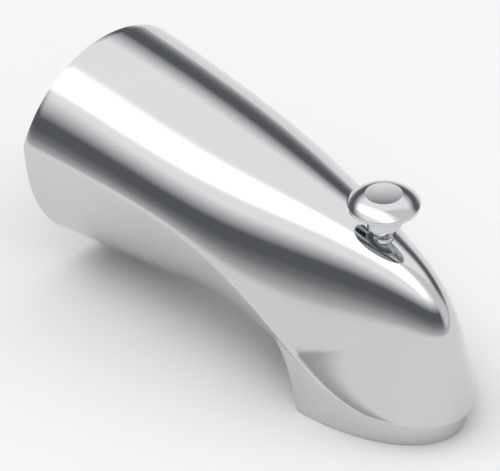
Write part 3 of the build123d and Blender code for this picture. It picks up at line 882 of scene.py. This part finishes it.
def turned_brass():
    """Bare brass from the lathe: close tool marks around the axis, and a little tarnish."""
    tarnished = (0.66, 0.46, 0.19)
    fresh = (0.83, 0.63, 0.32)
    finish, tree, shader = finish_tree("turned_brass")
    spot = tree.node("ShaderNodeTexCoord", {}, {}, "Object")
    across, along, above = tree.parts(spot)
    radius = (across * across + above * above).math("SQRT")
    track = tree.vector(radius, along)
    marks = tree.node("ShaderNodeTexNoise", {}, {"Vector": track, "Scale": 2600.0, "Detail": 2.0})
    tarnish = object_noise(tree, scale=130, detail=5)
    feed(
        tree,
        shader,
        Base_Color=blend_colours(tree, tarnish, tarnished, fresh),
        Metallic=1.0,
        Roughness=0.2 + marks * 0.12 + tarnish * 0.12,
        Normal=relief(tree, marks, strength=0.25, depth=0.05 * mm),
    )
    return finish


brass = turned_brass()
pipe_bore = 8.05 * mm
bore_end = 28.0 * mm
sleeve_radius = sleeve_bore - play
sleeve_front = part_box("pipe_adapter")[0].y
stop_radius = 13.0 * mm
stop_start = hub_end + 0.1 * mm
stop_end = stop_start + 4.0 * mm
socket_bore = 7.05 * mm
socket_outside = socket_bore + 3.2 * mm
socket_start = bore_end + 3.0 * mm
tube_bore = 5.75 * mm
ring_setback = 6.0 * mm
ring_section = 1.5 * mm
groove_half = (ring_section + 0.8 * mm) / 2
groove_floor = pipe_bore + ring_section + 0.1 * mm
edge_break = 0.3 * mm
grooves = []
for reach in (bore_end - ring_setback, ring_setback):
    grooves += [
        (pipe_bore, -reach - groove_half, 0),
        (groove_floor, -reach - groove_half, 0),
        (groove_floor, -reach + groove_half, 0),
        (pipe_bore, -reach + groove_half, 0),
    ]
sleeve = turned(
    "pipe_sleeve",
    [
        (pipe_bore, 0, 2 * edge_break),
        (sleeve_radius, 0, edge_break),
        (sleeve_radius, -stop_start, 0),
        (stop_radius, -stop_start, edge_break),
        (stop_radius, -stop_end, edge_break),
        (socket_outside, -stop_end, 0),
        (socket_outside, sleeve_front, edge_break),
        (socket_bore, sleeve_front, edge_break),
        (socket_bore, -socket_start, 0),
        (tube_bore, -socket_start, 0),
        (tube_bore, -bore_end, 0),
        (pipe_bore, -bore_end, 0),
        *grooves,
    ],
    brass,
    axis="Y",
    loop=True,
)
combine(sleeve, "DIFFERENCE", rod("screw_way", (0, -screw_reach), screw_bore, "Z", -far, 0, brass))
sleeve.data.set_sharp_from_angle(angle=sharp_angle)
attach(sleeve, "spout")
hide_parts("pipe_adapter")

tube_low, tube_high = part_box("waterway_tube")
tube = turned(
    "waterway_tube.drawn",
    [
        (tube_bore, tube_low.y, edge_break),
        (tube_high.x, tube_low.y, edge_break),
        (tube_high.x, tube_high.y, edge_break),
        (tube_bore, tube_high.y, edge_break),
    ],
    brass,
    axis="Y",
    loop=True,
)
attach(tube, "spout")
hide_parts("waterway_tube")

# Sealing rings
# Four moulded rubber O-rings: two in the sleeve's bore for the pipe, one round the tube and one round the
# rod. Each is snapped into its groove and needs no other fixing.


def black_rubber():
    """Moulded black rubber: dull, with a faint bloom."""
    black = (0.018, 0.018, 0.019)
    bloomed = (0.045, 0.045, 0.046)
    finish, tree, shader = finish_tree("black_rubber")
    bloom = object_noise(tree, scale=160, detail=5)
    grain = object_noise(tree, scale=2400, detail=2)
    feed(
        tree,
        shader,
        Base_Color=blend_colours(tree, bloom, black, bloomed),
        Roughness=0.5 + bloom * 0.2,
        Normal=relief(tree, grain, strength=0.2, depth=0.05 * mm),
    )
    return finish


rubber = black_rubber()
ring_nodes = ("rear_pipe_o_ring", "front_pipe_o_ring", "tube_o_ring", "stem_o_ring")


def ring_sizes(node):
    """One ring's sizes, from the box that it fills. The box's least side is the ring's section."""
    low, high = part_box(node)
    span = high - low
    section_radius = min(span) / 2
    lies_flat = span.z < span.y
    return {
        "Ring Radius": span.x / 2 - section_radius,
        "Ring Points": 96,
        "Section Radius": section_radius,
        "Section Points": 20,
        "Centre": (low + high) / 2,
        "Tilt": Vector((0 if lies_flat else math.radians(90), 0, 0)),
    }


ring_tree, size = shape_tree("sealing_ring", ring_sizes(ring_nodes[0]))
circle, section = (
    ring_tree.node(
        "GeometryNodeCurvePrimitiveCircle",
        {},
        {"Resolution": size[part + " Points"], "Radius": size[part + " Radius"]},
    )
    for part in ("Ring", "Section")
)
swept = ring_tree.node("GeometryNodeCurveToMesh", {}, {"Curve": circle, "Profile Curve": section})
placed = ring_tree.node(
    "GeometryNodeTransform", {}, {"Geometry": swept, "Translation": size["Centre"], "Rotation": size["Tilt"]}
)
close_tree(ring_tree, placed, size["Finish"])
for node in ring_nodes:
    ring = new_piece(node + ".moulded", grown(node, ring_tree, ring_sizes(node), rubber))
    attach(ring, "spout")
    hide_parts(node)

# Set screw
# A threaded steel screw with a flat point and a hexagon socket, driven up from under the spout through the
# boss and the sleeve, to clamp the sleeve on the pipe.

screw_low, screw_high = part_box("set_screw")
screw_radius = screw_bore - play
screw_pitch = 1.0 * mm
screw_groove = 0.5 * mm
point_radius = 2.0 * mm
point_length = 1.0 * mm
point_edge = 0.1 * mm
end_chamfer = 0.4 * mm
key_width = 3.0 * mm
key_radius = key_width / 2 / math.cos(math.radians(30))
key_floor = screw_low.z + 3.5 * mm
thread_top = screw_high.z - point_length
thread_foot = screw_low.z + end_chamfer
thread_rings = 96


def thread_groove(phase):
    """Share of a thread's depth within its pitch: a quarter each of crest, flank, root and flank."""
    return clamp(abs(phase - 0.5) * 4 - 0.5)


thread_levels = [ease(thread_top, thread_foot, ring / thread_rings) for ring in range(thread_rings + 1)]
set_screw = turned(
    "set_screw.turned",
    [
        (0, screw_high.z, 0),
        (point_radius, screw_high.z, point_edge),
        *[(screw_radius, level, 0) for level in thread_levels],
        (screw_radius - end_chamfer, screw_low.z, 0),
        (0, screw_low.z, 0),
    ],
    steel,
    centre=(0, -screw_reach),
    steps=64,
)
for vertex in set_screw.data.vertices:
    outward = Vector((vertex.co.x, vertex.co.y + screw_reach))
    if outward.length > screw_radius - weld_gap:
        turn = math.atan2(outward.y, outward.x) / math.tau
        groove = screw_groove * thread_groove((vertex.co.z / screw_pitch - turn) % 1)
        vertex.co.x -= outward.x / screw_radius * groove
        vertex.co.y -= outward.y / screw_radius * groove
key = rod("key", (0, -screw_reach), key_radius, "Z", screw_low.z - overcut, key_floor, steel, sides=6)
combine(set_screw, "DIFFERENCE", key)
set_screw.data.set_sharp_from_angle(angle=sharp_angle)
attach(set_screw, "spout")
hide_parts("set_screw")

# Pan-head screws
# Two pairs of slotted stainless screws, driven upwards: one pair holds the valve box on the posts under the
# roof, the other its cover. Their heads are pressed, with rounded edges, and their threads are rolled.

pair_radii = {"housing_screws": post_bore - play, "cover_screws": 1.5 * mm}
head_ratio = 1.85
head_height = 2.0 * mm


def screw_sizes(node):
    """The sizes of one pair of screws. The box that they fill gives their length and their seats."""
    low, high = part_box(node)
    radius = pair_radii[node]
    seat_height = low.z + head_height
    first_seat = Vector((low.x + radius * head_ratio, (low.y + high.y) / 2, seat_height))
    return {
        "Head Radius": radius * head_ratio,
        "Head Height": head_height,
        "Head Points": 49,
        "Shank Radius": radius,
        "Shank Length": high.z - seat_height,
        "Shank Points": 33,
        "Slot Width": 0.8 * mm,
        "Slot Depth": 0.9 * mm,
        "Edge Round": 0.67 * mm,
        "Thread Rows": 180,
        "Thread Pitch": 0.7 * mm,
        "Thread Depth": 0.35 * mm,
        "First Seat": first_seat,
        "Spacing": Vector((-2 * first_seat.x, 0, 0)),
    }


screw_tree, size = shape_tree("pan_head_screws", screw_sizes("housing_screws"))
around, along = grid_shares(screw_tree)
angle = around * math.tau


def on_round(radius, height):
    """Places round the screw's axis at this radius and height."""
    return screw_tree.vector(radius * angle.math("COSINE"), radius * angle.math("SINE"), height)


# Rows of the head: the flat of its foot, its round edge, its side, and its seat, which closes to a point
flat_rows = 2
edge_rows = 12
side_rows = 7
last_row = flat_rows + edge_rows + side_rows + 2
head_grid = screw_tree.node(
    "GeometryNodeMeshGrid", {}, {"Vertices X": size["Head Points"], "Vertices Y": last_row + 1}
)
level = along * last_row
bend = clamp((level - flat_rows) / edge_rows) * (math.pi / 2)
side = clamp((level - (flat_rows + edge_rows)) / side_rows)
flat = (size["Head Radius"] - size["Edge Round"]) * (level / flat_rows).math("MINIMUM", 1)
row_radius = (flat + size["Edge Round"] * bend.math("SINE")) * (level < last_row - 0.5)
row_height = (
    size["Edge Round"] * (1 - bend.math("COSINE"))
    + (size["Head Height"] - size["Edge Round"]) * side
    - size["Head Height"]
)
head = shaped(screw_tree, head_grid, on_round(row_radius, row_height))

# Rows of the shank: its thread climbs from a plain neck in the head to a tapered tip; the end rows shut it
neck_turns = 0.5
shank_grid = screw_tree.node(
    "GeometryNodeMeshGrid", {}, {"Vertices X": size["Shank Points"], "Vertices Y": size["Thread Rows"]}
)
row, even, open_row = shut_rows(along, size["Thread Rows"])
climb = even * size["Shank Length"]
turns = climb / size["Thread Pitch"]
groove = thread_groove((turns - around + 1).math("FRACT"))
neck = clamp(turns - neck_turns)
tip = (1 - (size["Shank Length"] - climb) / size["Thread Pitch"]).math("MAXIMUM", 0)
thread_cut = size["Thread Depth"] * (groove * neck).math("MAXIMUM", tip)
shank_radius = (size["Shank Radius"] - thread_cut) * open_row
shank_height = climb - size["Head Height"] / 4 * (row < 1.5)
shank = shaped(screw_tree, shank_grid, on_round(shank_radius, shank_height))
whole = screw_tree.node(
    "GeometryNodeMeshBoolean", {"operation": "UNION", "solver": "EXACT"}, {"Mesh 2": [head, shank]}
)

# Driver slot, cut across the head
slot_size = screw_tree.vector(size["Head Radius"] * 3, size["Slot Width"], size["Slot Depth"] * 2)
slot_block = screw_tree.node("GeometryNodeMeshCube", {}, {"Size": slot_size})
slot_place = screw_tree.vector(0, 0, size["Head Height"] * -1)
slot_tool = screw_tree.node(
    "GeometryNodeTransform", {}, {"Geometry": slot_block, "Translation": slot_place}
)
screw = screw_tree.node(
    "GeometryNodeMeshBoolean",
    {"operation": "DIFFERENCE", "solver": "EXACT"},
    {"Mesh 1": whole, "Mesh 2": slot_tool},
)
seats = screw_tree.node(
    "GeometryNodeMeshLine", {}, {"Count": 2, "Start Location": size["First Seat"], "Offset": size["Spacing"]}
)
pair = screw_tree.node("GeometryNodeInstanceOnPoints", {}, {"Points": seats, "Instance": screw})
close_tree(screw_tree, pair, size["Finish"])
for node in pair_radii:
    pair_mesh = grown(node, screw_tree, screw_sizes(node), steel)
    pair_mesh.set_sharp_from_angle(angle=sharp_angle)
    screws = new_piece(node + ".pair", pair_mesh)
    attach(screws, "spout")
    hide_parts(node)

# Valve box, its cover and its gate
# Moulded in hard plastic: a white box on two ears under the roof, with the port that the gate shuts, and a
# flat cover below it. The gate is grey, with a rubber face on a small screw, and hangs on the rod's hook.


def moulded_plastic(name, dark, light):
    """Hard moulded plastic: a fine matt grain and slight flow marks."""
    finish, tree, shader = finish_tree(name)
    flow = object_noise(tree, scale=70, detail=4)
    grain = object_noise(tree, scale=1800, detail=3)
    feed(
        tree,
        shader,
        Base_Color=blend_colours(tree, flow, dark, light),
        Roughness=0.38 + grain * 0.15,
        Normal=relief(tree, grain, strength=0.15, depth=0.05 * mm),
    )
    return finish


flat_angle = math.radians(0.5)


def refined(node, finish, width):
    """A copy of a CAD node's mesh with its flat faces made whole and its edges eased."""
    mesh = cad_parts[node].data.copy()
    with opened(mesh) as work:
        bmesh.ops.remove_doubles(work, verts=work.verts, dist=weld_gap)
        bmesh.ops.dissolve_limit(work, angle_limit=flat_angle, verts=work.verts, edges=work.edges)
        round_edges(work, lambda edge: edge.calc_face_angle() > sharp_angle, width, segments=2)
    mesh.materials.clear()
    mesh.materials.append(finish)
    mesh.shade_smooth()
    mesh.set_sharp_from_angle(angle=sharp_angle)
    return new_piece(node + ".eased", mesh)


white = moulded_plastic("white_plastic", dark=(0.78, 0.77, 0.73), light=(0.86, 0.85, 0.815))
grey = moulded_plastic("grey_plastic", dark=(0.26, 0.27, 0.29), light=(0.32, 0.33, 0.35))
valve_pieces = [
    ("diverter_housing", "spout", white, "white_plastic", 0.2 * mm),
    ("housing_cover", "spout", white, "white_plastic", 0.2 * mm),
    ("housing_gasket", "spout", rubber, "black_rubber", 0.1 * mm),
    ("diverter_gate", "diverter", grey, "grey_plastic", 0.15 * mm),
    ("gate_washer", "diverter", rubber, "black_rubber", 0.1 * mm),
    ("gate_screw", "diverter", steel, "stainless_steel", 0.08 * mm),
]
for node, carrier, finish, slot, eased_edge in valve_pieces:
    piece = refined(node, finish, eased_edge)
    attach(piece, carrier)
    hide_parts(node)

# Wall gasket
# A ring cut from closed-cell foam, pressed into the open back against the ribs. It stands in the plane of
# the wall and keeps water from running in behind the spout.


def grey_foam():
    """Closed-cell foam: a dull cut face with small open cells."""
    dark = (0.11, 0.11, 0.115)
    light = (0.27, 0.27, 0.28)
    finish, tree, shader = finish_tree("grey_foam")
    spot = tree.node("ShaderNodeTexCoord", {}, {}, "Object")
    cells = tree.node("ShaderNodeTexVoronoi", {}, {"Vector": spot, "Scale": 1500.0}, "Distance")
    cloud = object_noise(tree, scale=200, detail=4)
    feed(
        tree,
        shader,
        Base_Color=blend_colours(tree, cells * 0.7 + cloud * 0.3, dark, light),
        Roughness=0.85 + cloud * 0.1,
        Normal=relief(tree, cells, strength=0.6, depth=0.2 * mm),
    )
    return finish


foam = grey_foam()
gasket_edge = 0.4 * mm
gasket = refined("wall_gasket", foam, gasket_edge)
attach(gasket, "spout")
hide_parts("wall_gasket")

# Studio
# A wide sheet of pale paper under the spout, in a pale room with a dark band above its horizon, a lit panel
# in front and a long soft box on its ceiling. The camera stands far off, as an isometric drawing asks.

paper_dark = (0.895, 0.895, 0.895)
paper_light = (0.905, 0.905, 0.905)
paper_half = 8.0
paper_level = cad_low.z - 0.2 * mm
paper, tree, shader = finish_tree("floor_paper")
fibre = object_noise(tree, scale=60, detail=4)
feed(tree, shader, Base_Color=blend_colours(tree, fibre, paper_dark, paper_light), Roughness=0.9)
paper_corners = [(x * paper_half, y * paper_half) for x, y in ((-1, -1), (1, -1), (1, 1), (-1, 1))]
paper_mesh = bpy.data.meshes.new("floor")
paper_mesh.from_pydata([(x, y, paper_level) for x, y in paper_corners], [], [(0, 1, 2, 3)])
paper_mesh.materials.append(paper)
new_piece("floor", paper_mesh)

# The room by the height of each direction: pale at the horizon, a dark band, then a pale ceiling
horizon = (0.9, 0.9, 0.9)
band = (0.13, 0.135, 0.145)
ceiling = (1.12, 1.12, 1.12)
room_stops = [
    (0.0, horizon),
    (0.05, (0.55, 0.55, 0.555)),
    (0.16, (0.24, 0.245, 0.25)),
    (0.27, band),
    (0.42, band),
    (0.68, ceiling),
    (1.0, ceiling),
]
world = bpy.data.worlds.new("studio")
world.use_nodes = True
world.node_tree.nodes.clear()
sky = Tree(world.node_tree)
across, along, height = sky.parts(sky.node("ShaderNodeTexCoord", {}, {}, "Generated"))
room = sky.node("ShaderNodeValToRGB", {"stops": room_stops}, {0: height})

# Lit panel: it stands on the floor in front, towards one side, with soft edges
panel_across = 0.6
panel_along = -0.8
panel_edge = 0.78
panel_fade = 0.2
panel_foot = 0.02
panel_foot_fade = 0.12
panel_glow = (0.8, 0.8, 0.8)
level_length = (across * across + along * along).math("SQRT")
facing = (across * panel_across + along * panel_along) / level_length
between = clamp((facing - panel_edge) / panel_fade)
above = clamp((height - panel_foot) / panel_foot_fade)
panel = between * between * (3 - between * 2) * above
lit_room = blend_colours(sky, panel, room, panel_glow)

# Soft box: a long lit rectangle on the ceiling, over the near side, with edges that fade
box_side = -0.36
box_end = 0.2
box_half_width = 0.26
box_half_length = 1.0
box_glow = (2.6, 2.6, 2.6)
lowest = 0.05
overhead = height.math("MAXIMUM", lowest)
from_side = (across / overhead - box_side) / box_half_width
from_end = (along / overhead - box_end) / box_half_length
side_fade = from_side * from_side
end_fade = from_end * from_end
box = (side_fade * side_fade * -1 - end_fade * end_fade).math("EXPONENT")
lit_ceiling = blend_colours(sky, box, lit_room, box_glow)
glow = sky.node("ShaderNodeBackground", {}, {"Color": lit_ceiling, "Strength": 1.0})
sky.node("ShaderNodeOutputWorld", {}, {"Surface": glow})
bpy.context.scene.world = world

# Camera: on the drawing's line of sight, with the middle of its frame as the aim
photo_width = 151.5 * mm
aim = Vector((0, -62.65, -8.54)) * mm
towards_camera = Vector((-1, -1, 1)).normalized()
camera_data = bpy.data.cameras.new("camera")
camera_data.lens = 1000.0
camera_data.sensor_width = 36.0
camera_data.clip_end = 40.0
camera = bpy.data.objects.new("camera", camera_data)
bpy.context.scene.collection.objects.link(camera)
camera.location = aim + towards_camera * (photo_width * camera_data.lens / camera_data.sensor_width)
camera.rotation_mode = "QUATERNION"
camera.rotation_quaternion = (-towards_camera).to_track_quat("-Z", "Y")
bpy.context.scene.camera = camera
bpy.context.scene.view_settings.view_transform = "Standard"
